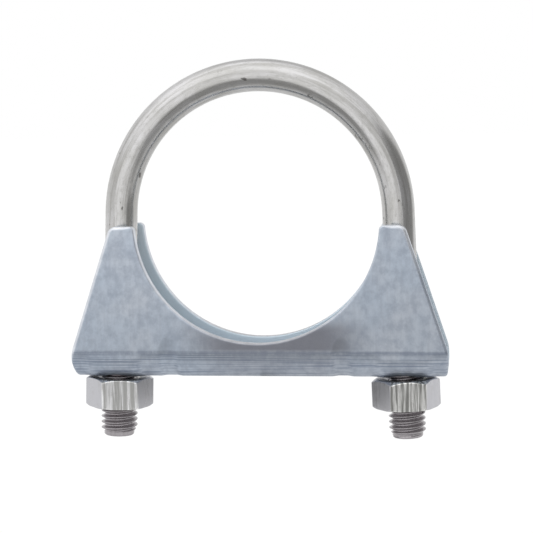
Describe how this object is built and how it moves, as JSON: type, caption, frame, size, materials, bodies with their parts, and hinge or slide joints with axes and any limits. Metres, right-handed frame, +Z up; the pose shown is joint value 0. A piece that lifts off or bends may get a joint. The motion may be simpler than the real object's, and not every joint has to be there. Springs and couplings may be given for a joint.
{
  "type": "u-bolt clamp",
  "caption": "Round-bend U-bolt with threaded legs, a folded sheet-steel saddle with a half-round cut-out that slides on them, and hexagon nuts, for clamping a pipe.",
  "frame": {"origin": "axis of the clamped pipe, at the mid-depth of the clamp: the centre of the rod's round bend", "axes": "+Z up towards the top of the bend, the threaded legs point down; +Y along the pipe, away from the viewer; +X to the viewer's right"},
  "size_m": [0.0818, 0.0142, 0.0819],
  "materials": {
    "bolt_zinc": "zinc-plated drawn rod, satin grey with fine lengthwise drawing marks and small pits",
    "saddle_zinc": "blue-white zinc-plated sheet steel, satin, faint rolling streaks, brighter rolled edges",
    "nut_zinc": "zinc-plated, brighter flats with draw marks across them"
  },
  "bodies": {
    "u_bolt": {"u_bolt": "bolt_zinc"},
    "saddle": {"saddle": "saddle_zinc"},
    "left_nut": {"left_hex_nut": "nut_zinc"},
    "right_nut": {"right_hex_nut": "nut_zinc"}
  },
  "joints": [
    {"name": "saddle_slide", "type": "slide", "parent": "u_bolt", "child": "saddle", "axis": [0, 0, 1], "range_m": [-0.00625, 0.00375]},
    {"name": "left_nut_spin", "type": "hinge", "parent": "saddle", "child": "left_nut", "pos_m": [-0.03146, 0, -0.03842], "axis": [0.0349, 0, 0.9994], "range_deg": [-1800, 1080]},
    {"name": "right_nut_spin", "type": "hinge", "parent": "saddle", "child": "right_nut", "pos_m": [0.03146, 0, -0.03842], "axis": [-0.0349, 0, 0.9994], "range_deg": [-1800, 1080]}
  ],
  "couplings": [
    {"joint": "left_nut_spin", "follows": "saddle_slide", "rad_per_m": 5026.5},
    {"joint": "right_nut_spin", "follows": "saddle_slide", "rad_per_m": 5026.5}
  ]
}
